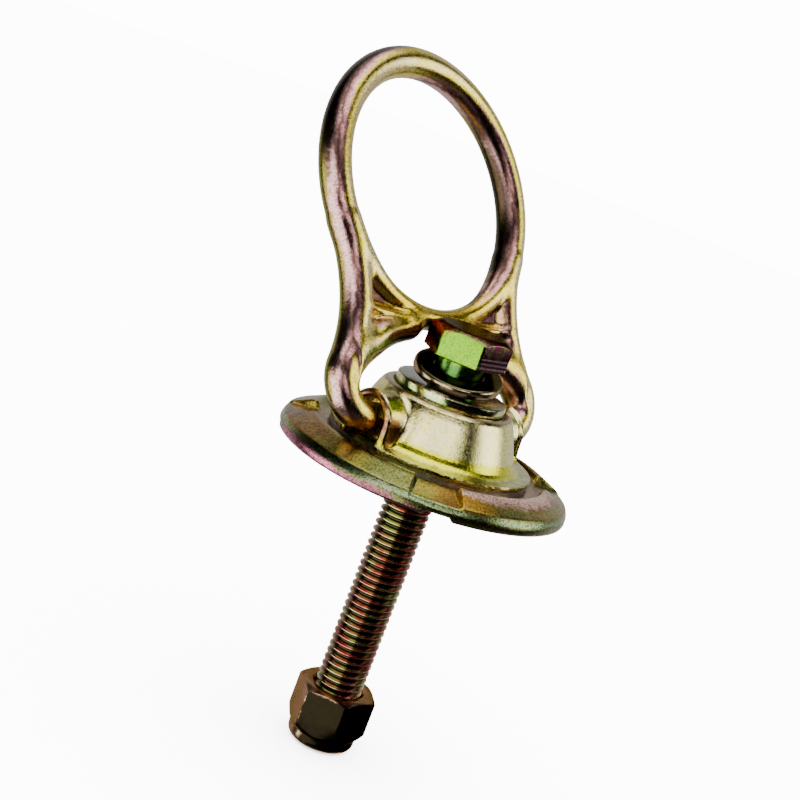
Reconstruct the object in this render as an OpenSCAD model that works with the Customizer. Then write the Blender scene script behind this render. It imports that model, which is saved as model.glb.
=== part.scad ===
// Swivel hoist ring: a round steel foot bolted to a load, a housing that turns on a flanged bushing,
// and a forged bail that pivots in the housing.
// Frame: origin at the centre of the foot's underside, +Z up along the bolt, +X along the bail's pins.

/* [Base plate] */
// Outside diameter of the foot
base_d = 76.2; // [70:0.1:84]
// Height of the rim between the pads
base_rim_h = 3.6; // [3:0.1:5]
// Top of the raised pads
pad_h = 6.7; // [6:0.1:7.2]
// Height of the flat annulus that carries the housing
annulus_h = 5.2; // [4.8:0.1:5.5]
// Half the angle of the gap between two pads
pad_gap_half = 9.5; // [5:0.5:20]
// Turn of the pads, as the azimuth of one gap's middle
pad_gap_turn = -131.5; // [-180:0.5:180]
// Depth of the grooves in the underside
groove_depth = 1.0; // [0.5:0.1:1.5]
// Width of the grooves in the underside
groove_w = 7; // [4:0.5:10]
// Turn of the grooves, as the azimuth of one of them
groove_turn = -129.5; // [-180:0.5:180]

/* [Bushing] */
// Radius of the barrel
barrel_r = 9.5; // [9:0.1:10]
// Radius of the hole for the bolt
bolt_hole_r = 6.75; // [6.5:0.05:7.2]
// Radius of the flange that holds the housing down
bushing_flange_r = 14.3; // [13.6:0.1:14.4]
// Top of the flange
bushing_top = 22.4; // [21.8:0.1:22.45]
// Thickness of the flange
bushing_flange_t = 3; // [2.5:0.1:3.1]

/* [Housing] */
// Radius of the bottom flange
housing_flange_r = 26.4; // [25:0.1:28]
// Thickness of the bottom flange
housing_flange_t = 1.2; // [1:0.1:1.5]
// Height of the pins' axis
pin_z = 12; // [11.8:0.1:12.2]
// Outside radius of the arched bosses
boss_r = 6.6; // [6.2:0.1:7]
// Distance from the bolt's axis to a boss's mouth
boss_mouth_x = 26; // [25:0.1:26.2]

/* [Bail] */
// Lean of the bail from upright, resting on the bolt's head
bail_lean = 30.5; // [30.5:0.5:40]
// Radius of the ring's centreline
ring_r = 33.8; // [33.5:0.1:34.2]
// Radius of the ring's round section
ring_tube_r = 4.1; // [4:0.05:4.3]
// Distance from the pins' axis to the ring's centre
ring_h = 60.3; // [60:0.1:61]
// Radius of the legs and pins
leg_r = 4; // [3.9:0.05:4.05]
// Thickness of the web at the bottom of its pockets
web_t = 1.6; // [1:0.1:4]

/* [Bolt and nut] */
// Diameter of the bolt
bolt_d = 12.7; // [12.5:0.05:12.7]
// Length under the head
bolt_length = 107.95; // [100:0.05:125]
// Height of the head's underside
head_z = 29.9; // [29.8:0.1:31]
// Height of the head
head_h = 7.9; // [7:0.1:8.5]
// Width across the head's and the nut's flats
flats = 19.05; // [18:0.05:19.1]
// Height of the nut, from its top face to the bottom of its collar
nut_h = 15.9; // [15:0.1:16.5]
// Diameter of the washer under the head
washer_d = 23; // [21:0.1:23.4]
// Tilt of the loose washer, held between the bushing and the head
washer_tilt = 13.2; // [10:0.1:13.3]

/* [Hidden] */
$fn = 96;
eps = 0.01;
base_r = base_d / 2;
far = 60;
// Foot: rim chamfer, flat annulus, a pad's inner edge, crest and outer edge, start of a groove.
rim_edge = 0.8;
annulus_r = 28.4;
pad_inner_r = 29.4;
pad_crest_r = 30.8;
pad_outer_r = base_r - 0.9;
groove_start = 19;
counterbore_r = 13;
counterbore_depth = 2.4;
// Bushing: lower end, groove for the snap ring, and the snap ring with its gap.
barrel_bottom = 0.6;
ring_groove_r = 8.7;
clip_bottom = 1.0;
clip_top = 2.2;
clip_r = 12;
clip_arc = 320;
thrust_washer_t = 0.8;
// Housing: clearance to what turns in it, heights, a boss's inner end, cavity, pin socket and lip.
running_gap = 0.08;
housing_bottom = 6.1;
housing_top = 18.6;
recess_r = 14.7;
edge = 0.3;
boss_root_x = 13;
boss_cavity_r = 5.4;
cavity_x = 21;
socket_x = 12.4;
lip_w = 2;
lip_profile = [[-lip_w, boss_r - 0.05], [0.7 - lip_w, 7.2], [1.3 - lip_w, 7.4], [1.9 - lip_w, 7.1],
               [0, 6.6]];
// Bail: pins, rib under the ring, slim lower limb of the ring, elbow and waist of a leg.
pin_tip_x = 13;
rib_r = 46;
rib_tube_r = 2.1;
rib_top = 25.6;
rib_half_angle = 43.2;
low_limb_r = 33.3;
low_limb_tube_r = 2.75;
low_limb_half_angle = 36;
thick_rib_r = 45.6;
thick_rib_tube_r = 3.3;
thick_rib_from = 12.5;
elbow_r = 8.5;
elbow_x = 25.5;
elbow_up = 30;
waist_r = 36;
waist_tube_r = leg_r + 0.05;
waist_cx = elbow_x + (elbow_r + waist_r) * cos(elbow_up);
waist_cz = elbow_r + (elbow_r + waist_r) * sin(elbow_up);
leg_top_x = waist_cx - waist_r;
leg_top_z = 42;
web_bottom = 12;
// Washer: section, lowest side, and the point of its rim that stands on the bushing.
washer_t = 2.5;
washer_hole_r = 7.3;
washer_low_azimuth = -144;
washer_hinge_r = 10.82;
washer_shift = 0.6;
washer_hinge_z = bushing_top + 0.15;
// Bolt's head and nut: radius of the turned corners, azimuth of a flat, washer face, chamfers, collar.
head_corner_r = 10.85;
head_turn = 31;
head_face_r = 9;
head_top_r = 8.4;
face_step = 0.3;
end_chamfer = 0.9;
nut_top_z = -62.3;
collar_h = 3.4;
collar_r = 9.1;
collar_rounding = 1.6;
nut_low_chamfer = 52;
insert_h = 2.6;
nut_bottom_z = nut_top_z - nut_h;
bolt_r = bolt_d / 2;
bolt_tip_z = head_z - bolt_length;

// A ring of rectangular section between two radii and two heights.
module collar(inner, outer, bottom, top) {
    rotate_extrude()
        translate([inner, bottom])
            square([outer - inner, top - bottom]);
}

// The four raised pads as one profile, the gaps cut out by wedges.
module pads() {
    difference() {
        rotate_extrude()
            polygon([[pad_inner_r, 3], [pad_inner_r, annulus_h], [pad_crest_r - 0.7, pad_h - 0.25],
                     [pad_crest_r, pad_h], [pad_crest_r + 0.8, pad_h - 0.15],
                     [pad_outer_r, base_rim_h + 0.35], [pad_outer_r, 3]]);
        for (quarter = [0:90:270])
            rotate([0, 0, pad_gap_turn + quarter])
                linear_extrude(height = 10)
                    polygon([[0, 0], [far, -far * tan(pad_gap_half)], [far, far * tan(pad_gap_half)]]);
    }
}

module base_plate() {
    color("#b5a24a")
    difference() {
        union() {
            rotate_extrude()
                polygon([[barrel_r, 0], [base_r - rim_edge, 0], [base_r, rim_edge],
                         [base_r, base_rim_h - rim_edge], [base_r - rim_edge, base_rim_h],
                         [annulus_r, annulus_h], [barrel_r, annulus_h]]);
            pads();
        }
        translate([0, 0, -eps])
            cylinder(h = counterbore_depth + eps, r = counterbore_r);
        for (quarter = [0:90:270])
            rotate([0, 0, groove_turn + quarter])
                translate([groove_start, -groove_w / 2, -groove_depth])
                    cube([far, groove_w, 2 * groove_depth]);
    }
}

module bushing() {
    color("#d9d58a")
    difference() {
        rotate_extrude()
            polygon([[bolt_hole_r, barrel_bottom], [barrel_r, barrel_bottom],
                     [barrel_r, bushing_top - bushing_flange_t],
                     [bushing_flange_r, bushing_top - bushing_flange_t],
                     [bushing_flange_r, bushing_top - 0.4], [bushing_flange_r - 0.4, bushing_top],
                     [bolt_hole_r + 0.6, bushing_top], [bolt_hole_r, bushing_top - 0.6]]);
        collar(ring_groove_r, barrel_r + 1, clip_bottom, clip_top);
    }
}

// Snap ring in the bushing's lower groove, split by a gap.
module retaining_ring() {
    color("#5a5a58")
    rotate([0, 0, 20])
        rotate_extrude(angle = clip_arc)
            translate([ring_groove_r, clip_bottom])
                square([clip_r - ring_groove_r, clip_top - clip_bottom]);
}

module lower_thrust_washer() {
    color("#8f8d84")
    collar(12.5, 26, annulus_h, annulus_h + thrust_washer_t);
}

module upper_thrust_washer() {
    color("#8f8d84")
    collar(11, 14.2, housing_top, bushing_top - bushing_flange_t - 0.1);
}

// One boss: an arch on the flange, open below, with a rolled lip at its mouth.
module boss() {
    translate([boss_root_x, 0, pin_z])
        rotate([0, 90, 0])
            cylinder(h = boss_mouth_x - boss_root_x, r = boss_r);
    translate([boss_root_x, -boss_r, housing_bottom])
        cube([boss_mouth_x - boss_root_x - 0.6, 2 * boss_r, pin_z - housing_bottom]);
    translate([boss_mouth_x, 0, pin_z])
        rotate([0, 90, 0])
            rotate_extrude()
                polygon(concat([[5, 0], [5, -lip_w]], [for (p = lip_profile) [p[1], p[0]]]));
    translate([boss_mouth_x, 0, housing_bottom])
        linear_extrude(height = pin_z - housing_bottom)
            polygon(concat([for (p = lip_profile) [p[0], p[1] - 0.02]],
                           [for (i = [4:-1:0]) [lip_profile[i][0], 0.02 - lip_profile[i][1]]]));
}

// What is taken out of a boss: the pin's socket, and the cavity at the mouth, open down to the foot.
module boss_hollow() {
    translate([socket_x, 0, pin_z])
        rotate([0, 90, 0])
            cylinder(h = far, r = leg_r + running_gap);
    translate([cavity_x, 0, pin_z])
        rotate([0, 90, 0])
            cylinder(h = far, r = boss_cavity_r);
    translate([cavity_x, -boss_cavity_r, 0])
        cube([far, 2 * boss_cavity_r, pin_z]);
}

module swivel_housing() {
    flange_top = housing_bottom + housing_flange_t;
    color("#d8cf7c")
    difference() {
        union() {
            rotate_extrude()
                polygon([[barrel_r + running_gap, housing_bottom],
                         [housing_flange_r - edge, housing_bottom],
                         [housing_flange_r, housing_bottom + edge],
                         [housing_flange_r, flange_top - edge], [housing_flange_r - edge, flange_top],
                         [23.2, 7.35], [22, 7.7], [21.3, 8.5], [20.7, 10], [18.3, 16], [17.4, 18.2],
                         [16.8, 19.2], [15.9, 20], [recess_r + 0.2, 20], [recess_r, 19.8],
                         [recess_r, housing_top], [barrel_r + running_gap, housing_top]]);
            boss();
            mirror([1, 0, 0])
                boss();
        }
        boss_hollow();
        mirror([1, 0, 0])
            boss_hollow();
        translate([0, 0, housing_bottom - far])
            cylinder(h = far, r = far);
    }
}

// A bent round bar: part of a torus lying in the XZ plane, between two angles from +X.
module bend(centreline, tube, from, to) {
    rotate([90, 0, 0])
        rotate([0, 0, from])
            rotate_extrude(angle = to - from)
                translate([centreline, 0])
                    circle(r = tube);
}

// One leg: pin, elbow, waist and the straight stretch that runs into the ring.
module leg() {
    translate([pin_tip_x, 0, 0])
        rotate([0, 90, 0])
            cylinder(h = elbow_x - pin_tip_x, r = leg_r);
    translate([elbow_x, 0, elbow_r])
        bend(elbow_r, leg_r, -90, elbow_up + 1.5);
    translate([waist_cx, 0, waist_cz])
        bend(waist_r, waist_tube_r, 180, 180 + elbow_up);
    translate([leg_top_x, 0, waist_cz])
        cylinder(h = leg_top_z - waist_cz, r = waist_tube_r);
}

// Thin web between the ring, the legs and the rib, whose floor shows as a pocket on each side.
module web() {
    translate([0, web_t / 2, 0])
        rotate([90, 0, 0])
            linear_extrude(height = web_t)
                difference() {
                    translate([-leg_top_x, web_bottom])
                        square([2 * leg_top_x, leg_top_z - web_bottom]);
                    translate([0, ring_h])
                        circle(r = ring_r);
                    translate([0, rib_top - rib_r])
                        circle(r = rib_r);
                }
}

module bail() {
    color("#c9b27a")
    translate([0, 0, pin_z])
        rotate([-bail_lean, 0, 0])
            union() {
                translate([0, 0, ring_h]) {
                    bend(ring_r, ring_tube_r, low_limb_half_angle - 90, 270 - low_limb_half_angle);
                    bend(low_limb_r, low_limb_tube_r,
                         -93 - low_limb_half_angle, low_limb_half_angle - 87);
                }
                translate([0, 0, rib_top - rib_r]) {
                    bend(rib_r, rib_tube_r, 90 - rib_half_angle, 90 + rib_half_angle);
                    bend(thick_rib_r, thick_rib_tube_r, 90 - rib_half_angle, 90 - thick_rib_from);
                    bend(thick_rib_r, thick_rib_tube_r, 90 + thick_rib_from, 90 + rib_half_angle);
                }
                web();
                leg();
                mirror([1, 0, 0])
                    leg();
            }
}

// Loose washer, tilted about the point of its rim that stands on the bushing, and a little off centre.
module head_washer() {
    color("#7d7a4e")
    rotate([0, 0, washer_low_azimuth])
        translate([washer_hinge_r - washer_shift, 0, washer_hinge_z])
            rotate([0, washer_tilt, 0])
                translate([-washer_hinge_r, 0, 0])
                    rotate_extrude()
                        polygon([[washer_hole_r, 0], [washer_d / 2 - 0.4, 0], [washer_d / 2, 0.4],
                                 [washer_d / 2, washer_t - 0.9], [washer_d / 2 - 0.3, washer_t - 0.3],
                                 [washer_d / 2 - 0.9, washer_t], [washer_hole_r, washer_t]]);
}

// Hexagonal bar with its corners turned off to a cone at one or both ends.
module hexagon(bottom, top, bottom_flat_r, top_flat_r, bottom_slope = 30) {
    height = top - bottom;
    intersection() {
        translate([0, 0, bottom])
            rotate([0, 0, head_turn + 30])
                cylinder(h = height, r = flats / 2 / cos(30), $fn = 6);
        rotate_extrude()
            polygon([[0, bottom], [bottom_flat_r, bottom],
                     [head_corner_r, bottom + (head_corner_r - bottom_flat_r) * tan(bottom_slope)],
                     [head_corner_r, top - (head_corner_r - top_flat_r) * tan(30)],
                     [top_flat_r, top], [0, top]]);
    }
}

module bolt() {
    color("#a9b04e")
    union() {
        hexagon(head_z + face_step, head_z + head_h, head_corner_r - eps, head_top_r);
        translate([0, 0, head_z])
            cylinder(h = face_step + 0.1, r = head_face_r);
        rotate_extrude()
            polygon([[0, bolt_tip_z], [bolt_r - end_chamfer, bolt_tip_z],
                     [bolt_r, bolt_tip_z + end_chamfer], [bolt_r, head_z + 1], [0, head_z + 1]]);
    }
}

// Nut body: hexagon with a turned collar at the bottom, recessed for the insert.
module nut_shell() {
    collar_top = nut_bottom_z + collar_h;
    color("#6b6340")
    difference() {
        union() {
            hexagon(collar_top, nut_top_z, collar_r, head_face_r, nut_low_chamfer);
            rotate_extrude()
                polygon([[bolt_r, nut_bottom_z], [collar_r - collar_rounding, nut_bottom_z],
                         [collar_r - 0.5, nut_bottom_z + 0.5], [collar_r, nut_bottom_z + collar_rounding],
                         [collar_r, collar_top + 1], [bolt_r, collar_top + 1]]);
        }
        translate([0, 0, nut_bottom_z - 1])
            cylinder(h = nut_h + 2, r = bolt_r + 0.05);
        translate([0, 0, nut_bottom_z + 0.7])
            cylinder(h = insert_h, r = collar_r - 0.9);
    }
}

module nylon_insert() {
    color("#d9dbe0")
    collar(bolt_r + 0.02, collar_r - 0.93, nut_bottom_z + 0.75, nut_bottom_z + 0.65 + insert_h);
}

base_plate();
bushing();
retaining_ring();
lower_thrust_washer();
upper_thrust_washer();
swivel_housing();
bail();
head_washer();
bolt();
nut_shell();
nylon_insert();
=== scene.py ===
import math
import bmesh
import bpy
import numpy as np
from mathutils import Matrix, Vector


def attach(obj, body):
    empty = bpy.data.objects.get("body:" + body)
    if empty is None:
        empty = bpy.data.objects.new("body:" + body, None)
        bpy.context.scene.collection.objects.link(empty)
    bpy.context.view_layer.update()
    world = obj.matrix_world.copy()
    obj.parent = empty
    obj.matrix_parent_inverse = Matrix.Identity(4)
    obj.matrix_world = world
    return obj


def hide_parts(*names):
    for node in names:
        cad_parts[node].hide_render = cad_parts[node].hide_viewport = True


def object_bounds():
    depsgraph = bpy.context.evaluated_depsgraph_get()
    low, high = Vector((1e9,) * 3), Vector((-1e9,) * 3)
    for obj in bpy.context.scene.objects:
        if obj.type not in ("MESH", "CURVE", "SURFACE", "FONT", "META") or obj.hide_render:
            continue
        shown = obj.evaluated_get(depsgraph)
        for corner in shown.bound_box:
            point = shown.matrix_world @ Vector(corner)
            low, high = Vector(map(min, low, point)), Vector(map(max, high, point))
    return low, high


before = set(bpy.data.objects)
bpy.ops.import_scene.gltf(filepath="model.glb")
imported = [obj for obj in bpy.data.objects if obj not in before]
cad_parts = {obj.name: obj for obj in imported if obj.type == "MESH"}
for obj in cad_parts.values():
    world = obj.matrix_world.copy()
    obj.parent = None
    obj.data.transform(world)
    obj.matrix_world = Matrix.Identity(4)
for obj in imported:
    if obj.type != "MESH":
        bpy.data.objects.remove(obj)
cad_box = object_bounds()
MM = 0.001

# Sizes, in millimetres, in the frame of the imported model.
BASE_R = 38.1
GAP_AZIMUTH = -131.5
GAP_HALF_ANGLE = 9.5
GROOVE_AZIMUTH = -129.5
PIN_Z = 12.0
BAIL_LEAN = math.radians(30.5)
RING_CENTRE = 60.3
RING_R = 33.8
RIB_CENTRE = -20.4
RIB_ARC_R = 46.4
PITCH = 25.4 / 13
BOLT_R = 6.35
HEAD_BOTTOM = 29.9
HEAD_TOP = 37.8
FLATS_HALF = 9.525
HEX_TURN = math.radians(31)
CORNER_R = 10.85
NUT_TOP = -62.3
NUT_BOTTOM = -78.2
BOLT_TIP = HEAD_BOTTOM - 107.95
THREAD_TOP = 22.0
CHAMFER_SLOPE = math.tan(math.radians(30))


# ---------------------------------------------------------------- meshes

def add_piece(name, points, faces, body, node, material, smooth=35):
    """A mesh piece from points in millimetres, standing for a CAD node and riding on its body."""
    mesh = bpy.data.meshes.new(name)
    mesh.from_pydata((np.asarray(points) * MM).tolist(), [], faces)
    mesh.validate()
    piece = bpy.data.objects.new(name, mesh)
    bpy.context.scene.collection.objects.link(piece)
    mesh.materials.append(material)
    for polygon in mesh.polygons:
        polygon.use_smooth = True
    mesh.set_sharp_from_angle(angle=math.radians(smooth))
    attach(piece, body)
    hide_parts(node)
    return piece


def round_corners(corners, steps=4):
    """A closed outline from (x, y, radius) corners, each turned into an arc."""
    outline = []
    for i, (x, y, radius) in enumerate(corners):
        here = np.array([x, y])
        before = np.array(corners[i - 1][:2]) - here
        after = np.array(corners[(i + 1) % len(corners)][:2]) - here
        if radius <= 0:
            outline.append(here)
            continue
        a = before / np.linalg.norm(before)
        b = after / np.linalg.norm(after)
        half = math.acos(np.clip(a @ b, -1, 1)) / 2
        room = 0.49 * min(np.linalg.norm(before), np.linalg.norm(after))
        reach = min(radius / math.tan(half), room)
        true_radius = reach * math.tan(half)
        centre = here + (a + b) / np.linalg.norm(a + b) * true_radius / math.sin(half)
        first = here + a * reach - centre
        last = here + b * reach - centre
        sweep = math.atan2(first[0] * last[1] - first[1] * last[0], first @ last)
        for k in range(steps + 1):
            t = sweep * k / steps
            turned = [first[0] * math.cos(t) - first[1] * math.sin(t),
                      first[0] * math.sin(t) + first[1] * math.cos(t)]
            outline.append(centre + turned)
    return np.array(outline)


def grid_faces(rows, columns, close_rows):
    """Quads over a grid whose columns run round and whose rows run round too if close_rows is true."""
    faces = []
    for j in range(rows if close_rows else rows - 1):
        below = j * columns
        above = (j + 1) % rows * columns
        for i in range(columns):
            k = (i + 1) % columns
            faces.append((below + i, below + k, above + k, above + i))
    return faces


def lathe(outline, segments):
    """Turns a closed (radius, height) outline, anticlockwise in the half plane, round the Z axis."""
    angles = np.arange(segments) / segments * 2 * math.pi
    points = np.empty((len(outline), segments, 3))
    points[..., 0] = outline[:, 0, None] * np.cos(angles)
    points[..., 1] = outline[:, 0, None] * np.sin(angles)
    points[..., 2] = outline[:, 1, None]
    return points.reshape(-1, 3), grid_faces(len(outline), segments, True)


def ease(low, high, value):
    """Smooth step from 0 at low to 1 at high."""
    t = np.clip((value - low) / (high - low), 0, 1)
    return t * t * (3 - 2 * t)


def smooth_union(a, b, blend):
    """Union of two distance fields, the seam between them filled to a fillet."""
    h = np.maximum(blend - np.abs(a - b), 0) / blend
    return np.minimum(a, b) - h * h * blend / 4


def smooth_cut(a, b, blend):
    """Solid a with solid b taken away, the edge rounded."""
    return -smooth_union(-a, b, blend)


def surface_mesh(field, low, high, step):
    """Quad mesh of the surface field(x, y, z) = 0: surface nets, evened out and moved on to the surface."""
    axes = [np.arange(a, b + step, step) for a, b in zip(low, high)]
    x, y, z = np.meshgrid(*axes, indexing="ij")
    value = field(x, y, z)
    inside = value < 0
    nx, ny, nz = value.shape
    total = np.zeros((nx - 1, ny - 1, nz - 1, 3))
    count = np.zeros((nx - 1, ny - 1, nz - 1))
    crossings = []
    for axis in range(3):
        head = [slice(None)] * 3
        tail = [slice(None)] * 3
        head[axis] = slice(0, -1)
        tail[axis] = slice(1, None)
        a = value[tuple(head)]
        b = value[tuple(tail)]
        cross = inside[tuple(head)] != inside[tuple(tail)]
        at = np.argwhere(cross)
        share = a[cross] / (a[cross] - b[cross])
        where = at.astype(float)
        where[:, axis] += share
        others = [k for k in range(3) if k != axis]
        for p in (0, 1):
            for q in (0, 1):
                cell = at.copy()
                cell[:, others[0]] -= p
                cell[:, others[1]] -= q
                good = (cell >= 0).all(1) & (cell < np.array(count.shape)).all(1)
                key = tuple(cell[good].T)
                np.add.at(total, key, where[good])
                np.add.at(count, key, 1)
        crossings.append((axis, at, inside[tuple(head)][cross]))
    used = count > 0
    index = np.full(count.shape, -1)
    index[used] = np.arange(used.sum())
    points = total[used] / count[used][:, None] * step + np.array(low)
    quads = []
    for axis, at, solid_first in crossings:
        o1, o2 = [(axis + 1) % 3, (axis + 2) % 3]
        ring = []
        for p, q in ((0, 0), (1, 0), (1, 1), (0, 1)):
            cell = at.copy()
            cell[:, o1] -= p
            cell[:, o2] -= q
            ring.append(index[tuple(cell.T)])
        quad = np.stack(ring, 1)
        flip = ~solid_first
        quad[flip] = quad[flip][:, ::-1]
        quads.append(quad)
    quads = np.concatenate(quads)
    for turn in range(3):
        if turn > 0:
            sums = np.zeros_like(points)
            number = np.zeros(len(points))
            for k in range(4):
                for m in (1, 3):
                    np.add.at(sums, quads[:, k], points[quads[:, (k + m) % 4]])
                    np.add.at(number, quads[:, k], 1)
            points = 0.5 * points + 0.5 * sums / number[:, None]
        for _ in range(3):
            h = 0.02
            base = field(*points.T)
            gradient = np.stack([field(*(points + h * np.eye(3)[k]).T) - base for k in range(3)], 1) / h
            size = np.maximum((gradient ** 2).sum(1), 0.05)
            move = (base / size)[:, None] * gradient
            length = np.linalg.norm(move, axis=1, keepdims=True)
            points = points - move * np.minimum(1, 0.5 * step / np.maximum(length, 1e-9))
    return points, quads.tolist()


# ---------------------------------------------------------------- shapes

def base_plate(material):
    """Round foot: four raised pads on top, four shallow grooves underneath."""
    angles = set(np.round(np.arange(0, 360, 1.5), 3))
    for quarter in range(4):
        for edge in (-GAP_HALF_ANGLE, GAP_HALF_ANGLE):
            close_by = GAP_AZIMUTH + 90 * quarter + edge + np.arange(-2.4, 2.41, 0.3)
            angles |= set(np.round(close_by % 360, 3))
        for edge in (-7.28, 7.28):
            close_by = GROOVE_AZIMUTH + 90 * quarter + edge + np.arange(-4, 4.1, 0.5)
            angles |= set(np.round(close_by % 360, 3))
    angles = np.radians(np.array(sorted(angles)))
    under_r = np.array([13.0, 13.0, 13.2, 14, 17, 18.4, 19.2, 20, 24, 28, 32, 35, 36.6, 37.3])
    under_z = np.array([2.4, 0.2, 0.0] + [0] * 11)
    rim = [(37.65, 0.08), (37.95, 0.3), (BASE_R, 0.75), (BASE_R, 1.5), (38.02, 2.1), (37.85, 2.6)]
    top_r = np.concatenate([[37.6, 37.4, 37.25, 36.9, 36.4], np.linspace(35.6, 31.6, 7),
                            [31.2, 30.9, 30.6, 30.3, 30.0, 29.7, 29.45, 29.2, 28.8, 28.4],
                            [27.5, 24, 19, 14, 9.5]])
    ground = np.interp(top_r, [9.5, 28.4, 36.9, 37.4, 37.6], [5.2, 5.2, 3.7, 3.45, 3.1])
    crest = np.interp(top_r, [29.3, 29.6, 30.2, 30.45, 30.8, 31.6, 32.4, 33.2, 36.9, 37.25, 37.6],
                      [5.2, 5.35, 6.4, 6.62, 6.7, 6.6, 6.3, 5.9, 4.15, 3.9, 3.15])
    crest = np.maximum(crest, ground)
    quarter_turn = math.pi / 2
    from_gap = (angles - math.radians(GAP_AZIMUTH) + quarter_turn / 2) % quarter_turn - quarter_turn / 2
    gap_edge = math.radians(GAP_HALF_ANGLE)
    on_pad = ease(gap_edge - 0.012, gap_edge + 0.022, np.abs(from_gap))
    from_groove = (angles - math.radians(GROOVE_AZIMUTH) + quarter_turn / 2) % quarter_turn - quarter_turn / 2

    def groove(r):
        """Depth of the grooves at a radius, in millimetres, for each angle."""
        return 1 - ease(2.7, 4.0, np.abs(r * np.sin(from_groove)))

    rows = []
    for r, z in zip(under_r, under_z):
        rows.append((np.full(len(angles), r), z + groove(r) * ease(17.6, 20.2, r)))
    for r, z in rim:
        rows.append((np.full(len(angles), r), z + groove(r) * max(0, 1 - z / 2.6)))
    for r, low_z, high_z in zip(top_r, ground, crest):
        rows.append((np.full(len(angles), r), low_z + (high_z - low_z) * on_pad))
    rows.append((np.full(len(angles), 9.5), np.full(len(angles), 2.4)))
    points = np.array([np.stack([r * np.cos(angles), r * np.sin(angles), z], 1) for r, z in rows])
    faces = grid_faces(len(rows), len(angles), True)
    return add_piece("base_plate_forging", points.reshape(-1, 3), faces, "foot", "base_plate",
                     material, 50)


def bushing(material):
    """Sleeve with its flange at the top and the snap ring's groove near the bottom."""
    outline = round_corners([(6.75, 0.6, 0.3), (9.5, 0.6, 0.4), (9.5, 1.0, 0), (8.7, 1.0, 0),
                             (8.7, 2.2, 0), (9.5, 2.2, 0), (9.5, 19.4, 0), (14.3, 19.4, 0.3),
                             (14.3, 22.4, 0.45), (7.6, 22.4, 0.25), (6.75, 21.7, 0.3)])
    points, faces = lathe(outline, 144)
    return add_piece("bushing_sleeve", points, faces, "foot", "bushing", material)


HOUSING_OUTLINE = [(9.58, 6.1), (26.4, 6.1), (26.4, 7.3), (23.6, 7.32), (22.6, 7.6), (21.7, 8.3),
                   (21.0, 9.4), (20.4, 11), (19.6, 13.2), (18.7, 15.6), (17.9, 17.6), (17.2, 19.0),
                   (16.5, 19.7), (15.9, 19.88), (14.95, 19.88), (14.82, 19.7), (14.82, 18.6),
                   (9.58, 18.6)]


def polygon_distance(x, y, corners):
    """Signed distance to a closed polygon, negative inside."""
    nearest = np.full(np.shape(x), 1e9)
    inside = np.zeros(np.shape(x), bool)
    for (ax, ay), (bx, by) in zip(corners, corners[1:] + corners[:1]):
        ex, ey = bx - ax, by - ay
        t = np.clip(((x - ax) * ex + (y - ay) * ey) / (ex * ex + ey * ey), 0, 1)
        nearest = np.minimum(nearest, (x - ax - t * ex) ** 2 + (y - ay - t * ey) ** 2)
        crosses = (ay > y) != (by > y)
        slope = ex / ey if ey else 0
        inside ^= crosses & (x < ax + (y - ay) * slope)
    return np.sqrt(nearest) * np.where(inside, -1, 1)


def housing_field(x, y, z):
    """Cup with a bottom flange, and an arched boss each side, rolled outwards at its mouth."""
    r = np.hypot(x, y)
    side = np.abs(x)
    body = polygon_distance(r, z, HOUSING_OUTLINE) - 0.12
    body = np.maximum(body, 6.1 - z)
    up = np.maximum(z - PIN_Z, 0)
    flare = 0.8 * np.exp(-((side - 25.2) / 0.6) ** 2)
    spread = 0.35 * ease(12, 7, z)
    arch = np.hypot(y, up) - 6.55 - flare - spread
    arch = np.maximum(arch, 12 - side)
    arch = -smooth_union(-arch, 25.98 - side, 0.5)
    arch = np.maximum(arch, 6.4 - z)
    solid = smooth_union(body, arch, 1.3)
    solid = np.maximum(solid, 6.1 - z)
    off_axis = np.hypot(y, z - PIN_Z)
    pin_bore = np.maximum(off_axis - 4.08, 12.4 - side)
    mouth = np.maximum(np.hypot(y, up) - 5.4, 21 - side)
    solid = smooth_cut(solid, smooth_union(pin_bore, mouth, 0.2), 0.7)
    solid = np.maximum(solid, 9.58 - r)
    recess = np.maximum(r - 14.7, 18.6 - z)
    return np.maximum(solid, -recess)


def swivel_housing(material):
    """Cup that turns on the sleeve and holds the bail's pins."""
    points, faces = surface_mesh(housing_field, (-27, -27.4, 5.4), (27, 27.4, 21), 0.42)
    return add_piece("housing_forging", points, faces, "swivel", "swivel_housing",
                     material, 38)


def arc_distance(u, w, centre, radius, start, end):
    """In-plane distance to an arc between two angles in degrees."""
    a = np.degrees(np.arctan2(w - centre[1], u - centre[0]))
    middle = (start + end) / 2
    a = (a - middle + 180) % 360 - 180 + middle
    a = np.radians(np.clip(a, start, end))
    return np.hypot(u - centre[0] - radius * np.cos(a), w - centre[1] - radius * np.sin(a))


def segment_distance(u, w, a, b):
    """In-plane distance to the straight line from a to b."""
    ex, ey = b[0] - a[0], b[1] - a[1]
    t = np.clip(((u - a[0]) * ex + (w - a[1]) * ey) / (ex * ex + ey * ey), 0, 1)
    return np.hypot(u - a[0] - t * ex, w - a[1] - t * ey)


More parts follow.
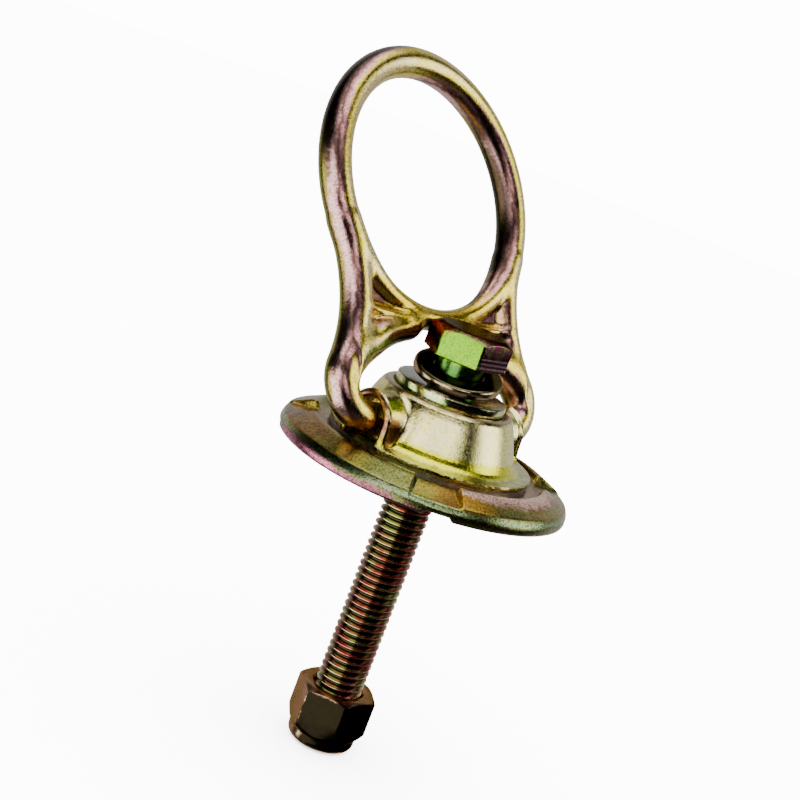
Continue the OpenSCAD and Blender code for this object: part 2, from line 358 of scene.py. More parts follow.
def bail_field(u, v, w):
    """Forged bail in its own plane: ring, legs, rib and a thin web between them with its pockets."""
    u = np.abs(u)
    ring_angle = np.degrees(np.arctan2(RING_CENTRE - w, u))
    slim = ease(30, 64, ring_angle)
    to_ring = np.hypot(u, w - RING_CENTRE)
    ring = np.hypot(to_ring - RING_R + 0.5 * slim, v) - 4.1 + 1.4 * slim
    elbow = arc_distance(u, w, (25.5, 8.5), 8.5, -90, 30)
    pin = segment_distance(u, w, (13, 0), (25.5, 0))
    waist = arc_distance(u, w, (64.04, 30.75), 36, 180, 210)
    shoulder = arc_distance(u, w, (69.34, 30.9), 41.3, 157.1, 180)
    along = np.minimum(np.minimum(elbow, pin), np.minimum(waist, shoulder))
    leg = np.hypot(along, v) - 4.0
    leg = np.maximum(leg, 13 - u)
    to_rib = np.hypot(u, w - RIB_CENTRE)
    thick = ease(3, 9.5, u)
    rib_r = 1.3 + 2.1 * thick + 0.8 * ease(14, 23, u)
    rib = np.hypot(to_rib - RIB_ARC_R + thick - 0.4 * ease(13, 22, u), v) - rib_r
    rib = np.maximum(rib, u - 31)
    solid = smooth_union(ring, leg, 1.2)
    solid = smooth_union(solid, rib, 2.6)
    floor = np.maximum(np.maximum(RING_R - to_ring, 46 - to_rib), u - 29)
    floor = np.maximum(floor, w - 42)
    web = np.maximum(np.abs(v) - 0.75, floor)
    solid = smooth_union(solid, web, 1.1)
    ridge = segment_distance(u, w, (26.5, 26.5), (12, 26.0))
    ridge = (np.hypot(ridge / 0.95, v / 2.2) - 1) * 0.95
    return smooth_union(solid, ridge, 1.9)


def bail(material):
    """Lifting ring with its legs and pins, leaning back on the bolt's head."""
    points, faces = surface_mesh(bail_field, (-39, -5, -5), (39, 5, 99), 0.52)
    lean = np.array(Matrix.Rotation(-BAIL_LEAN, 3, "X"))
    points = points @ lean.T + np.array([0, 0, PIN_Z])
    return add_piece("bail_forging", points, faces, "bail", "bail", material, 60)


def head_washer(material):
    """Loose washer under the head, standing on one point of its rim."""
    outline = round_corners([(6.7, 0, 0.35), (11.5, 0, 0.5), (11.5, 2.5, 0.9), (6.7, 2.5, 0.35)], 6)
    points, faces = lathe(outline, 128)
    tilt = Matrix.Rotation(math.radians(13.2), 3, "Y")
    azimuth = Matrix.Rotation(math.radians(-144), 3, "Z")
    hinge = np.array([10.82, 0, 0])
    points = (points - hinge) @ np.array(tilt).T + hinge + np.array([-0.6, 0, 22.55])
    return add_piece("washer_turned", points @ np.array(azimuth).T, faces, "washer", "head_washer",
                     material)


def hex_radius(angle):
    """Distance from the axis to the side of a hexagon with turned corners."""
    phase = (angle - HEX_TURN + math.pi / 6) % (math.pi / 3) - math.pi / 6
    return np.minimum(FLATS_HALF / np.cos(phase), CORNER_R)


def hex_angles():
    """Angles round a hexagon, closer together at its corners."""
    angles = []
    for side in range(6):
        start = HEX_TURN - math.pi / 6 + side * math.pi / 3
        for t in np.linspace(-1, 1, 31)[:-1]:
            angles.append(start + math.pi / 6 + math.pi / 6 * math.sin(t * math.pi / 2))
    return np.array(angles)


def ring_points(radius, height, angles):
    """A ring of points; radius and height are numbers, or arrays with a value for each angle."""
    return np.stack([radius * np.cos(angles), radius * np.sin(angles), height + 0 * angles], 1)


def bolt_head(material):
    """Hexagon head, its top corners turned off to a cone, on a low washer face."""
    angles = hex_angles()
    edge = hex_radius(angles)
    shoulder = HEAD_TOP - (edge - 8.4) * CHAMFER_SLOPE
    outline = [(0.01, HEAD_TOP), (4, HEAD_TOP), (7.6, HEAD_TOP), (8.3, HEAD_TOP - 0.02),
               (8.55, HEAD_TOP - 0.12)]
    for t in (0.35, 0.7, 0.94):
        r = 8.4 + (edge - 8.4) * t
        outline.append((r, HEAD_TOP - (r - 8.4) * CHAMFER_SLOPE))
    outline += [(edge - 0.03, shoulder - 0.05), (edge, shoulder - 0.2), (edge, HEAD_BOTTOM + 3.4),
                (edge, HEAD_BOTTOM + 0.6), (edge - 0.06, HEAD_BOTTOM + 0.38),
                (edge - 0.25, HEAD_BOTTOM + 0.3), (9.1, HEAD_BOTTOM + 0.3), (9.0, HEAD_BOTTOM + 0.05),
                (8.9, HEAD_BOTTOM), (6.5, HEAD_BOTTOM), (0.01, HEAD_BOTTOM)]
    rows = [ring_points(r, z, angles) for r, z in outline]
    points = np.concatenate(rows)
    faces = [tuple(reversed(f)) for f in grid_faces(len(rows), len(angles), False)]
    count = len(angles)
    faces.append(tuple(range(count)))
    faces.append(tuple(reversed(range(len(points) - count, len(points)))))
    return add_piece("bolt_head", points, faces, "bolt", "bolt", material, 28)


def bolt_thread(material):
    """Rolled thread from the tip to the plain shank, cut as one helix."""
    columns = 96
    root_r = BOLT_R - 0.614 * PITCH
    profile = [(0.0, BOLT_R - 0.03), (0.05, BOLT_R), (0.12, BOLT_R - 0.02), (0.16, BOLT_R - 0.1),
               (0.46, root_r + 0.14), (0.51, root_r + 0.02), (0.57, root_r), (0.63, root_r + 0.03),
               (0.68, root_r + 0.16), (0.96, BOLT_R - 0.12)]
    per_turn = len(profile)
    turns = int((THREAD_TOP - BOLT_TIP) / PITCH) + 3
    angles = np.arange(columns) / columns * 2 * math.pi
    k = np.arange(turns * per_turn + 1)
    share = np.array([p[0] for p in profile])[k % per_turn]
    radius = np.array([p[1] for p in profile])[k % per_turn]
    level = BOLT_TIP + (k // per_turn - 1 + share) * PITCH
    z = level[:, None] - PITCH + angles[None, :] / (2 * math.pi) * PITCH
    r = np.repeat(radius[:, None], columns, 1)
    plain = ease(THREAD_TOP - 1.2 * PITCH, THREAD_TOP - 0.4 * PITCH, z)
    r = r * (1 - plain) + (BOLT_R - 0.02) * plain
    z = np.clip(z, BOLT_TIP, THREAD_TOP)
    r = np.minimum(r, BOLT_R - 1.25 + (z - BOLT_TIP) * 0.8)
    r = np.where(z >= THREAD_TOP - 1e-6, BOLT_R - 0.02, r)
    points = np.stack([r * np.cos(angles), r * np.sin(angles), z], -1).reshape(-1, 3)
    faces = []
    rows = len(k)
    for j in range(rows - 1):
        for i in range(columns):
            if i < columns - 1:
                faces.append((j * columns + i, j * columns + i + 1, (j + 1) * columns + i + 1,
                              (j + 1) * columns + i))
            elif j + 1 + per_turn < rows:
                faces.append((j * columns + i, (j + per_turn) * columns, (j + 1 + per_turn) * columns,
                              (j + 1) * columns + i))
    piece = add_piece("bolt_shank", points, faces, "bolt", "bolt", material, 32)
    tidy_helix(piece)
    return piece


def plain_shank(material):
    """Unthreaded stretch under the head, with the fillet where it meets the head."""
    outline = round_corners([(0.01, 21.6, 0), (BOLT_R - 0.25, 21.6, 0), (BOLT_R, 21.95, 0.1),
                             (BOLT_R, HEAD_BOTTOM - 0.4, 0.3), (BOLT_R + 0.5, HEAD_BOTTOM + 0.2, 0),
                             (0.01, HEAD_BOTTOM + 0.2, 0)])
    points, faces = lathe(outline, 96)
    return add_piece("bolt_plain_shank", points, faces, "bolt", "bolt", material)


def tidy_helix(piece):
    """Joins the helix's flattened ends and closes each with a disc."""
    work = bmesh.new()
    work.from_mesh(piece.data)
    bmesh.ops.remove_doubles(work, verts=work.verts, dist=2e-6)
    bmesh.ops.dissolve_degenerate(work, dist=1e-6, edges=work.edges)
    flat = [f for f in work.faces if max(v.co.z for v in f.verts) - min(v.co.z for v in f.verts) < 1e-7]
    bmesh.ops.delete(work, geom=flat, context="FACES")
    edges = [e for e in work.edges if e.is_boundary]
    filled = bmesh.ops.holes_fill(work, edges=edges, sides=0)
    bmesh.ops.triangulate(work, faces=filled["faces"])
    bmesh.ops.recalc_face_normals(work, faces=work.faces)
    work.to_mesh(piece.data)
    work.free()


def nut_shell(material):
    """Hexagon nut with chamfered corners, and a turned collar crimped over its locking ring."""
    angles = hex_angles()
    edge = hex_radius(angles)
    low_slope = math.tan(math.radians(52))
    hex_bottom = NUT_BOTTOM + 3.4
    outline = [(6.42, NUT_TOP - 0.8), (7.2, NUT_TOP - 0.05), (7.4, NUT_TOP), (8.8, NUT_TOP),
               (9.05, NUT_TOP - 0.1)]
    for t in (0.4, 0.94):
        r = 9.0 + (edge - 9.0) * t
        outline.append((r, NUT_TOP - 0.03 - (r - 9.0) * CHAMFER_SLOPE))
    outline += [(edge, NUT_TOP - 0.2 - (edge - 9.0) * CHAMFER_SLOPE), (edge, NUT_TOP - 5.5),
                (edge, hex_bottom + 0.2 + (edge - 9.1) * low_slope)]
    for t in (0.92, 0.4):
        r = 9.1 + (edge - 9.1) * t
        outline.append((r, hex_bottom + 0.03 + (r - 9.1) * low_slope))
    collar = [(9.1, 0.0), (9.05, -0.2), (9.05, -1.4), (8.98, -2.1), (8.75, -2.7), (8.4, -3.1),
              (7.9, -3.35), (7.4, -3.4), (7.1, -3.3), (7.0, -3.1), (7.0, -2.7), (8.15, -2.7),
              (8.15, -0.1), (6.42, -0.1)]
    outline += [(r, hex_bottom + z) for r, z in collar]
    rows = [ring_points(r, z, angles) for r, z in outline]
    points = np.concatenate(rows)
    faces = [tuple(reversed(f)) for f in grid_faces(len(rows), len(angles), True)]
    return add_piece("nut_body", points, faces, "nut", "nut_shell", material, 28)


# ---------------------------------------------------------------- materials

def new_material(name):
    material = bpy.data.materials.new(name)
    material.use_nodes = True
    tree = material.node_tree
    shader = tree.nodes["Principled BSDF"]
    return material, tree, shader


def node(tree, kind, links=(), **values):
    """A shader node; values sets its inputs by name, or its properties where it has no such input."""
    made = tree.nodes.new(kind)
    for key, value in values.items():
        name = key.replace("_", " ")
        if name in made.inputs:
            made.inputs[name].default_value = value
        else:
            setattr(made, key, value)
    for source, target in links:
        tree.links.new(source, made.inputs[target])
    return made


def ramp(tree, source, stops):
    """Colours along a value, from (place, colour) stops."""
    made = tree.nodes.new("ShaderNodeValToRGB")
    elements = made.color_ramp.elements
    while len(elements) < len(stops):
        elements.new(0.5)
    for element, (place, colour) in zip(elements, stops):
        element.position = place
        element.color = (*colour, 1)
    tree.links.new(source, made.inputs[0])
    return made.outputs[0]


def mix(tree, factor, a, b):
    """Colour a where factor is 0 and b where it is 1; each is a socket or a plain value."""
    made = tree.nodes.new("ShaderNodeMix")
    made.data_type = "RGBA"
    for value, socket in ((factor, 0), (a, 6), (b, 7)):
        if hasattr(value, "links"):
            tree.links.new(value, made.inputs[socket])
        elif socket == 0:
            made.inputs[0].default_value = value
        else:
            made.inputs[socket].default_value = (*value, 1)
    return made.outputs[2]


def facing(tree, direction):
    """How far the surface turns towards a direction of the object's own frame, from 0 to 1."""
    normal = tree.nodes.new("ShaderNodeTexCoord").outputs["Normal"]
    dot = vector(tree, "DOT_PRODUCT", normal, Vector(direction).normalized())["Value"]
    return arithmetic(tree, "MULTIPLY_ADD", dot, 0.5, 0.5)


def arithmetic(tree, operation, a, b=0.0, c=0.0):
    """The output of a maths node; each input is a socket or a plain value."""
    made = tree.nodes.new("ShaderNodeMath")
    made.operation = operation
    for socket, value in zip(made.inputs, (a, b, c)):
        if hasattr(value, "links"):
            tree.links.new(value, socket)
        else:
            socket.default_value = value
    return made.outputs[0]


def vector(tree, operation, a, b):
    """The outputs of a vector maths node; each input is a socket or a plain value."""
    made = tree.nodes.new("ShaderNodeVectorMath")
    made.operation = operation
    for socket, value in zip(made.inputs, (a, b)):
        if hasattr(value, "links"):
            tree.links.new(value, socket)
        else:
            socket.default_value = value
    return made.outputs


def patch(tree, where, ragged, centre, size, direction=None):
    """1 inside an ellipsoid with a ragged edge, 0 outside; centre and radii in millimetres.
    With a direction, only on what faces that way."""
    offset = vector(tree, "SUBTRACT", where, [c * MM for c in centre])[0]
    scaled = vector(tree, "MULTIPLY", offset, [1 / (r * MM) for r in size])[0]
    reach = arithmetic(tree, "ADD", vector(tree, "LENGTH", scaled, (0, 0, 0))["Value"], ragged)
    mask = smooth_range(tree, reach, 1.15, 0.6)
    if direction:
        turned = arithmetic(tree, "MULTIPLY_ADD", ragged, 0.08, facing(tree, direction))
        mask = arithmetic(tree, "MULTIPLY", mask, smooth_range(tree, turned, 0.45, 0.68))
    return mask


def smooth_range(tree, value, low, high):
    """0 at low and 1 at high, eased at both ends; low may be the larger."""
    made = node(tree, "ShaderNodeMapRange", [(value, "Value")], interpolation_type="SMOOTHSTEP")
    made.inputs["From Min"].default_value = low
    made.inputs["From Max"].default_value = high
    return made.outputs[0]


def zinc(name, bands, speck, roughness=0.24, grain=0.02, scale=45, towards=(0, 0, 1), pull=0.0,
         drift=0.8, dirt=0.42, patches=(), soot=0.6, shift=(0, 0, 0), turn=(0, 0, 0), blotch=0.6,
         ragged=1.2, edge_tint=(1, 1, 1)):
    """Yellow zinc plating: tints that drift with place; colours by the way the surface faces, which are
    painted reflections, painted highlights and painted shade; patches, some of tint and some of painted
    highlight, reflection or shade; finer mottling, dark speckle and a grained surface. A patch is a centre
    and radii in millimetres, a colour, how much of it there is, and the direction it faces or None."""
    material, tree, shader = new_material(name)
    where = node(tree, "ShaderNodeTexCoord").outputs["Object"]
    local = node(tree, "ShaderNodeMapping", [(where, "Vector")], Location=shift,
                 Rotation=turn).outputs[0]
    broad = node(tree, "ShaderNodeTexNoise", [(where, "Vector")], Scale=scale, Detail=3.0,
                 Roughness=0.55, Distortion=0.6).outputs[0]
    mottle = node(tree, "ShaderNodeTexNoise", [(where, "Vector")], Scale=scale * 11, Detail=4.0,
                  Roughness=0.65).outputs[0]
    grit = node(tree, "ShaderNodeTexNoise", [(where, "Vector")], Scale=1900.0, Detail=3.0,
                Roughness=0.75).outputs[0]
    spread = arithmetic(tree, "MULTIPLY_ADD", broad, 2 * drift, -drift)
    fine = arithmetic(tree, "MULTIPLY_ADD", mottle, blotch, -blotch / 2)
    # colour by which way the surface faces: painted reflections, painted highlights and painted shade
    turned = arithmetic(tree, "MULTIPLY_ADD", facing(tree, towards), pull, 0.5 - pull / 2)
    place = arithmetic(tree, "ADD", arithmetic(tree, "ADD", spread, fine), turned)
    tint = ramp(tree, place, bands)
    fray = arithmetic(tree, "MULTIPLY_ADD", mottle, ragged, -ragged / 2)
    # patches: some are tint, others are painted highlights, painted reflections or painted shade
    for centre, size, colour, amount, direction in patches:
        mask = arithmetic(tree, "MULTIPLY", patch(tree, local, fray, centre, size, direction), amount)
        tint = mix(tree, mask, tint, colour)
    flecks = smooth_range(tree, grit, dirt + 0.1, dirt - 0.1)
    flecks = arithmetic(tree, "MULTIPLY", flecks, soot)
    tree.links.new(mix(tree, flecks, tint, speck), shader.inputs["Base Color"])
    rough = node(tree, "ShaderNodeMapRange", [(mottle, "Value")])
    rough.inputs["To Min"].default_value = roughness - 0.08
    rough.inputs["To Max"].default_value = roughness + 0.1
    tree.links.new(rough.outputs[0], shader.inputs["Roughness"])
    shader.inputs["Metallic"].default_value = 1.0
    shader.inputs["Specular Tint"].default_value = (*edge_tint, 1)
    bump = node(tree, "ShaderNodeBump", [(grit, "Height")], Strength=1.0, Distance=grain * MM)
    swell = node(tree, "ShaderNodeBump", [(mottle, "Height"), (bump.outputs[0], "Normal")], Strength=0.3,
                 Distance=0.12 * MM)
    tree.links.new(swell.outputs[0], shader.inputs["Normal"])
    return material


def thread_plating():
    """Coppery crests over dark roots, by distance from the bolt's axis. The dark roots are painted shade in
    the thread's grooves.
    """
    material, tree, shader = new_material("zinc_thread")
    where = node(tree, "ShaderNodeTexCoord").outputs["Object"]
    flat = vector(tree, "MULTIPLY", where, (1, 1, 0))[0]
    from_axis = vector(tree, "LENGTH", flat, (0, 0, 0))["Value"]
    depth = node(tree, "ShaderNodeMapRange", [(from_axis, "Value")])
    depth.inputs["From Min"].default_value = (BOLT_R - 1.2) * MM
    depth.inputs["From Max"].default_value = BOLT_R * MM
    mottle = node(tree, "ShaderNodeTexNoise", [(where, "Vector")], Scale=260.0, Detail=4.0).outputs[0]
    hue = ramp(tree, mottle, [(0.38, (0.5, 0.1, 0.08)), (0.5, (0.62, 0.3, 0.2)),
                              (0.62, (0.5, 0.56, 0.2))])
    crest = ramp(tree, depth.outputs[0], [(0.35, (0, 0, 0)), (0.92, (1, 1, 1))])
    # dark roots as painted shade, coppery crests, mixed by depth
    tree.links.new(mix(tree, crest, (0.05, 0.045, 0.02), hue), shader.inputs["Base Color"])
    shader.inputs["Metallic"].default_value = 1.0
    shader.inputs["Roughness"].default_value = 0.2
    bump = node(tree, "ShaderNodeBump", [(mottle, "Height")], Strength=0.3, Distance=0.03 * MM)
    tree.links.new(bump.outputs[0], shader.inputs["Normal"])
    return material


def plain(name, colour, roughness, metallic, scale):
    """Hidden or small pieces: one tint with fine mottling."""
    material, tree, shader = new_material(name)
    where = node(tree, "ShaderNodeTexCoord").outputs["Object"]
    noise = node(tree, "ShaderNodeTexNoise", [(where, "Vector")], Scale=scale, Detail=4.0).outputs[0]
    dark = tuple(c * 0.6 for c in colour)
    tree.links.new(ramp(tree, noise, [(0.3, dark), (0.7, colour)]), shader.inputs["Base Color"])
    shader.inputs["Metallic"].default_value = metallic
    shader.inputs["Roughness"].default_value = roughness
    bump = node(tree, "ShaderNodeBump", [(noise, "Height")], Strength=0.2, Distance=0.02 * MM)
    tree.links.new(bump.outputs[0], shader.inputs["Normal"])
    return material


CREAM = (0.95, 0.80, 0.38)
YELLOW = (0.85, 0.70, 0.04)
GOLD = (0.48, 0.26, 0.02)
OLIVE = (0.27, 0.25, 0.04)
TAN = (0.36, 0.24, 0.07)
# pale mint: used for the painted highlight along the foot's rim
MINT = (0.28, 0.45, 0.24)
BROWN = (0.16, 0.07, 0.02)
# near-black: the dark specks of the grain, and painted shade in the bail's dark patches
SPECK_AND_SHADE_BLACK = (0.02, 0.012, 0.008)

RIGHTWARD = (0.68, -0.65, 0.34)
FRONT = (-0.86, -0.5, 0.1)
RIGHT_FACE = (0.6, -0.8, 0)
LEFT_UP = (-0.65, 0.75, 0.15)
LEFT = (-0.72, 0.68, 0.1)
IN_BAIL = (0, PIN_Z * math.sin(BAIL_LEAN) * MM, -PIN_Z * math.cos(BAIL_LEAN) * MM)
# dark plum: painted shade in the web's upper pockets
PLUM = (0.07, 0.02, 0.03)
# dark olive: painted shade in the web's lower pockets
DARK_OLIVE = (0.14, 0.13, 0.01)
# bright pink for the painted reflection streaks on the head's right face
STRIPE = (1.0, 0.66, 0.78)
WHOLE_WIDTH = 60

bail_zinc = zinc(
    "zinc_bail",
    # bands by which way the surface faces (pull 0.95): painted reflections, cream and yellow edges, rose
    # highlights, a dark plum band between
    [(0.06, (0.4, 0.42, 0.06)), (0.18, TAN), (0.3, (0.85, 0.52, 0.46)), (0.44, (0.75, 0.42, 0.4)),
     (0.54, (0.12, 0.05, 0.04)), (0.66, (0.65, 0.32, 0.34)), (0.78, YELLOW), (0.93, CREAM)],
    SPECK_AND_SHADE_BLACK, roughness=0.16, grain=0.055, scale=35, towards=RIGHTWARD, pull=0.95, drift=0.22, dirt=0.45,
    # painted shade: dark reflections on the ring's upper-left and on the left-facing side of its right limb
    patches=[((-16, 0, 82), (30, 12, 36), SPECK_AND_SHADE_BLACK, 0.94, LEFT_UP),
             ((32, 0, 60), (12, 12, 38), SPECK_AND_SHADE_BLACK, 0.9, LEFT),
             ((0, 0, 29), (28, 8, 11), (0.8, 0.58, 0.03), 0.93, None),
             # painted shade in the upper pockets of the web
             ((-20, 0, 31.4), (14, 1.4, 7.2), PLUM, 1.0, None),
             ((20, 0, 31.4), (14, 1.4, 7.2), PLUM, 1.0, None),
             # painted shade in the lower pockets of the web
             ((-21, 0, 23.6), (6, 1.6, 2.1), DARK_OLIVE, 1.0, None),
             ((21, 0, 23.6), (6, 1.6, 2.1), DARK_OLIVE, 1.0, None),
             # painted shade on the down-facing underside of the rib and web
             ((0, 0, 20), (26, 6, 9), (0.1, 0.09, 0.01), 0.95, (0, -0.35, -0.94)),
             ((-27, -3, -4), (9, 6, 4), (0.6, 0.2, 0.02), 0.9, None),
             ((27, -3, -4), (9, 6, 4), GOLD, 0.7, None)],
    shift=IN_BAIL, turn=(BAIL_LEAN, 0, 0), blotch=0.28, ragged=0.5)
foot_zinc = zinc(
    "zinc_foot",
    # bands partly by which way the surface faces (pull 0.5): partly painted light and shade, partly the
    # plating's tint
    [(0.28, (0.3, 0.1, 0.14)), (0.42, (0.2, 0.24, 0.07)), (0.54, (0.16, 0.17, 0.04)), (0.66, OLIVE),
     (0.78, (0.3, 0.15, 0.02)), (0.92, BROWN)],
    SPECK_AND_SHADE_BLACK, roughness=0.2, grain=0.05, scale=40, towards=(0.1, -0.1, 1), pull=0.5, drift=0.6, dirt=0.45,
    patches=[((-38, 8, 1), (7, 16, 2), (0.7, 0.2, 0.34), 0.85, None),
             ((-14, -28, 5), (8, 8, 4), (0.4, 0.2, 0.01), 0.7, None),
             # painted highlight: a pale mint line round the rim's top edge
             ((0, 0, 2.9), (WHOLE_WIDTH, WHOLE_WIDTH, 0.9), MINT, 0.6, None),
             # painted highlight: the pink-white land along the crest of the front pad
             ((-1, -32, 6.9), (26, 11, 1.6), (1.0, 0.62, 0.5), 0.95, None)],
    soot=0.8)
housing_zinc = zinc(
    "zinc_housing",
    # bands partly by which way the surface faces (pull 0.3): partly painted light, partly the plating's tint
    [(0.15, (0.6, 0.4, 0.2)), (0.35, (0.85, 0.75, 0.2)), (0.55, (0.95, 0.86, 0.42)),
     (0.7, (0.9, 0.92, 0.3)), (0.88, (0.9, 0.6, 0.55))],
    (0.25, 0.15, 0.05), roughness=0.16, grain=0.05, scale=40, towards=(0.3, -0.9, 0.3), pull=0.3,
    drift=0.4, dirt=0.43,
    patches=[((0, 0, 8.8), (WHOLE_WIDTH, WHOLE_WIDTH, 1.9), (0.72, 0.74, 0.01), 1.0, None),
             ((0, 0, 6.8), (WHOLE_WIDTH, WHOLE_WIDTH, 1.0), (0.28, 0.29, 0.08), 0.95, None),
             # painted shade on the cup's top lip under the sleeve's flange
             ((0, 0, 20.3), (WHOLE_WIDTH, WHOLE_WIDTH, 1.1), (0.12, 0.06, 0.05), 0.8, None),
             # painted highlight on the top of the boss's flank
             ((-22.5, -4, 16.2), (4.2, 4, 2.6), (0.95, 0.85, 0.1), 1.0, None),
             # painted shade on the lower flank of the boss
             ((-23, -6.5, 11), (3.8, 2.5, 4.4), (0.14, 0.05, 0.01), 1.0, None),
             ((-21, 3, 18), (5, 5, 3), OLIVE, 0.9, None),
             ((-26.2, 0, 13), (2.7, 9, 9), (0.2, 0.09, 0.06), 0.95, None)])
bushing_zinc = zinc(
    "zinc_bushing",
    # bands by which way the surface faces (pull 0.8): painted reflections on the walls, painted shade
    # near-black on the up-facing top
    [(0.35, (0.75, 0.8, 0.55)), (0.5, (0.25, 0.5, 0.08)), (0.6, CREAM), (0.75, (0.12, 0.14, 0.06)),
     (0.95, (0.05, 0.05, 0.03))],
    SPECK_AND_SHADE_BLACK, roughness=0.1, grain=0.01, scale=90, pull=0.8, drift=0.5, dirt=0.3)
washer_zinc = zinc(
    "zinc_washer",
    # bands by which way the surface faces (pull 0.8): painted reflections, dark on the up-facing top
    [(0.3, (0.5, 0.34, 0.26)), (0.55, (0.45, 0.36, 0.2)), (0.75, (0.12, 0.1, 0.05)),
     (0.95, (0.05, 0.05, 0.03))],
    SPECK_AND_SHADE_BLACK, roughness=0.12, grain=0.015, scale=60, pull=0.8, drift=0.3, dirt=0.32,
    # painted shade in the washer's hole
    patches=[((0, 0, 25.5), (9.6, 9.6, 7), (0.02, 0.02, 0.01), 1.0, None)],
    edge_tint=(0.5, 0.45, 0.4))
bolt_zinc = zinc(
    "zinc_bolt",
    # bands by which way the surface faces (pull 0.94): painted reflections, lime green on front faces, brown
    # and plum on the others
    [(0.3, BROWN), (0.48, (0.1, 0.06, 0.04)), (0.56, (0.14, 0.08, 0.05)), (0.66, (0.13, 0.04, 0.06)),
     (0.77, (0.2, 0.07, 0.1)), (0.86, (0.1, 0.3, 0.01)), (0.92, (0.13, 0.38, 0.01)),
     (0.98, (0.2, 0.44, 0.01))],
    SPECK_AND_SHADE_BLACK, roughness=0.18, grain=0.03, scale=60, towards=FRONT, pull=0.94, drift=0.12, dirt=0.4,
    # painted reflection: orange-brown on the left-facing top chamfer
    patches=[((-9, 4, 37), (6, 6, 2.4), (0.3, 0.08, 0.02), 0.9, (-0.9, 0.4, 0.3)),
             # painted shade: the head's top face darkened
             ((0, 0, 38.6), (WHOLE_WIDTH, WHOLE_WIDTH, 1.5), (0.05, 0.03, 0.015), 0.97, None),
             # painted reflection: pink streaks across the right face
             ((0, 0, 31.0), (WHOLE_WIDTH, WHOLE_WIDTH, 0.35), STRIPE, 0.95, RIGHT_FACE),
             ((0, 0, 32.1), (WHOLE_WIDTH, WHOLE_WIDTH, 0.35), STRIPE, 0.95, RIGHT_FACE),
             ((0, 0, 33.2), (WHOLE_WIDTH, WHOLE_WIDTH, 0.3), STRIPE, 0.85, RIGHT_FACE),
             # painted reflection: the green shine of the plain shank under the head
             ((0, 0, 25), (30, 30, 5), (0.08, 0.24, 0.05), 0.95, None)],
    edge_tint=(0.3, 0.26, 0.16))
thread_zinc = thread_plating()
nut_zinc = zinc(
    "zinc_nut",
    # bands by which way the surface faces (pull 0.8): painted light and shade, near-black front faces,
    # tan-pink side faces
    [(0.2, (0.5, 0.3, 0.22)), (0.36, (0.4, 0.26, 0.16)), (0.47, (0.015, 0.012, 0.006)),
     (0.9, (0.01, 0.008, 0.004))],
    SPECK_AND_SHADE_BLACK, roughness=0.16, grain=0.02, scale=60, towards=(0.2, -0.97, -0.1), pull=0.8, drift=0.12,
    dirt=0.34,
    patches=[((0, 0, -61.8), (WHOLE_WIDTH, WHOLE_WIDTH, 1.3), (0.34, 0.2, 0.12), 0.8, None),
             # painted highlight on the collar's bottom edge
             ((0, 0, -78.4), (WHOLE_WIDTH, WHOLE_WIDTH, 1.2), (0.6, 0.4, 0.3), 0.85, None)],
    edge_tint=(0.4, 0.35, 0.25))
spring_steel = plain("steel_spring", (0.10, 0.10, 0.10), 0.4, 1.0, 400)
bearing_steel = plain("steel_bearing", (0.35, 0.34, 0.3), 0.35, 1.0, 500)
nylon = plain("nylon_natural", (0.7, 0.72, 0.75), 0.45, 0.0, 300)

base_plate(foot_zinc)
bushing(bushing_zinc)
swivel_housing(housing_zinc)
bail(bail_zinc)
head_washer(washer_zinc)
bolt_head(bolt_zinc)
bolt_thread(thread_zinc)
plain_shank(bolt_zinc)
nut_shell(nut_zinc)
for name, material in (("retaining_ring", spring_steel), ("lower_thrust_washer", bearing_steel),
                       ("upper_thrust_washer", bearing_steel), ("nylon_insert", nylon)):
    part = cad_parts[name]
    part.data.materials.clear()
    part.data.materials.append(material)


# ---------------------------------------------------------------- stage, light and camera

FORWARD = Vector((0.731344, 0.647798, -0.213294)).normalized()
UP = Vector((-0.083170, 0.395122, 0.914856))
RIGHT = FORWARD.cross(UP).normalized()
UP = RIGHT.cross(FORWARD)


def add_camera():
    """The photo's camera, solved from the foot's and the bushing's circles and the bolt's axis."""
    data = bpy.data.cameras.new("camera")
    camera = bpy.data.objects.new("camera", data)
    bpy.context.scene.collection.objects.link(camera)
    data.sensor_width = 36
    data.lens = 63.04
    data.clip_start = 0.01
    turn = Matrix((RIGHT, UP, -FORWARD)).transposed().to_4x4()
    camera.matrix_world = Matrix.Translation(Vector((-0.26320, -0.21823, 0.08927))) @ turn
    bpy.context.scene.camera = camera


def add_floor():
    """Pale floor just under the object. The metal doesn't reflect it, but the studio."""
    mesh = bpy.data.meshes.new("floor")
    level = cad_box[0][2] - 0.0005
    mesh.from_pydata([(-4, -4, level), (4, -4, level), (4, 4, level), (-4, 4, level)], [], [(0, 1, 2, 3)])
    floor = bpy.data.objects.new("floor", mesh)
    bpy.context.scene.collection.objects.link(floor)
    material, tree, shader = new_material("floor_white")
    shader.inputs["Base Color"].default_value = (0.99, 0.99, 0.99, 1)
    shader.inputs["Roughness"].default_value = 0.9
    mesh.materials.append(material)
    floor.visible_glossy = False


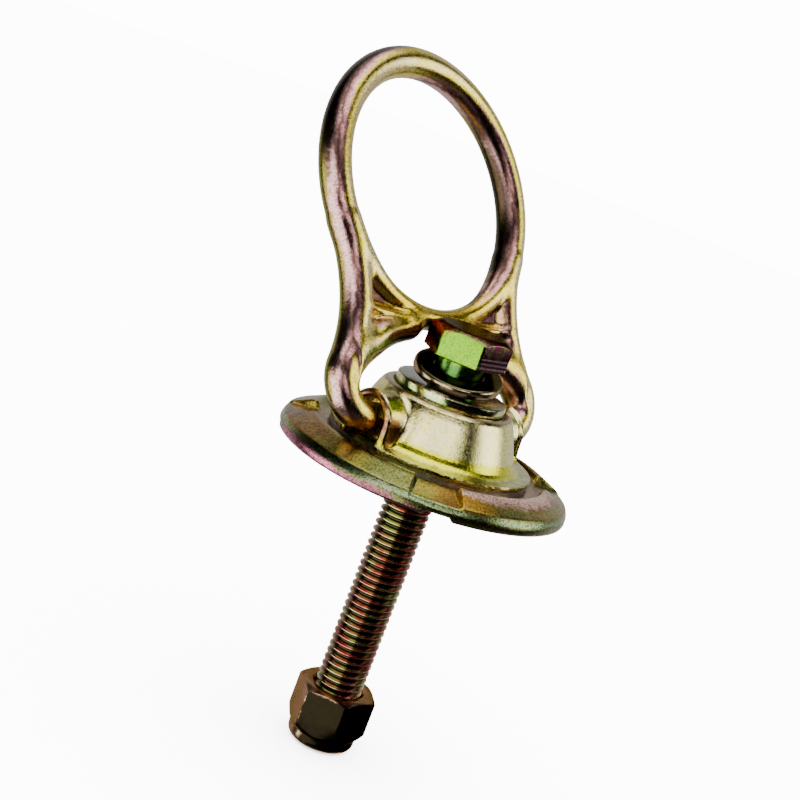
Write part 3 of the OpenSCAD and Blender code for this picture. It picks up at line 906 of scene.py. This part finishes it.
def add_studio():
    """White all round for the floor and the background; for reflections, soft boxes with dark gaps."""
    world = bpy.data.worlds.new("studio")
    bpy.context.scene.world = world
    world.use_nodes = True
    world.cycles.sampling_method = "NONE"
    tree = world.node_tree
    white = tree.nodes["Background"]
    white.inputs[0].default_value = (1, 1, 1, 1)
    white.inputs[1].default_value = 14.0
    towards = tree.nodes.new("ShaderNodeTexCoord").outputs["Generated"]

    def along(direction):
        return vector(tree, "DOT_PRODUCT", towards, direction)["Value"]

    def step(value, low, high):
        return smooth_range(tree, value, low, high)

    def both(a, b):
        return arithmetic(tree, "MULTIPLY", a, b)

    def box(value, low, high, soft):
        return both(step(value, low - soft, low + soft), step(value, high + soft, high - soft))

    def total(values):
        result = values[0]
        for value in values[1:]:
            result = arithmetic(tree, "ADD", result, value)
        return result

    away, across, above = along(FORWARD), along(RIGHT), along(UP)
    overhead = along(Vector((0, 0, 1)))
    behind = both(step(away, 0.25, 0.6), 0.7)
    left_box = both(box(across, -1.1, -0.24, 0.06), box(above, -0.62, 0.3, 0.08))
    left_box = both(both(left_box, step(away, 0.12, 0.0)), 3.2)
    band_pole = -0.305 * RIGHT - 0.904 * UP - 0.3 * FORWARD
    wall_band = both(box(along(band_pole), -0.11, 0.11, 0.04), box(across, -0.42, 0.62, 0.04))
    high_box = both(both(wall_band, step(away, -0.5, -0.62)), 4.0)
    right_box = both(both(step(across, 0.91, 0.96), box(away, -0.5, 0.3, 0.06)), 3.4)
    top_box = both(step(overhead, 0.8, 0.93), 3.2)
    low_glow = both(box(above, -0.95, -0.7, 0.1), 0.12)
    level = total([behind, left_box, high_box, right_box, top_box, low_glow])
    level = arithmetic(tree, "ADD", level, 0.006)
    reflected = tree.nodes.new("ShaderNodeBackground")
    reflected.inputs[0].default_value = (1.0, 0.98, 0.95, 1)
    tree.links.new(level, reflected.inputs[1])
    path = tree.nodes.new("ShaderNodeLightPath")
    blend = tree.nodes.new("ShaderNodeMixShader")
    tree.links.new(path.outputs["Is Glossy Ray"], blend.inputs[0])
    tree.links.new(white.outputs[0], blend.inputs[1])
    tree.links.new(reflected.outputs[0], blend.inputs[2])
    tree.links.new(blend.outputs[0], tree.nodes["World Output"].inputs[0])


add_camera()
add_floor()
add_studio()
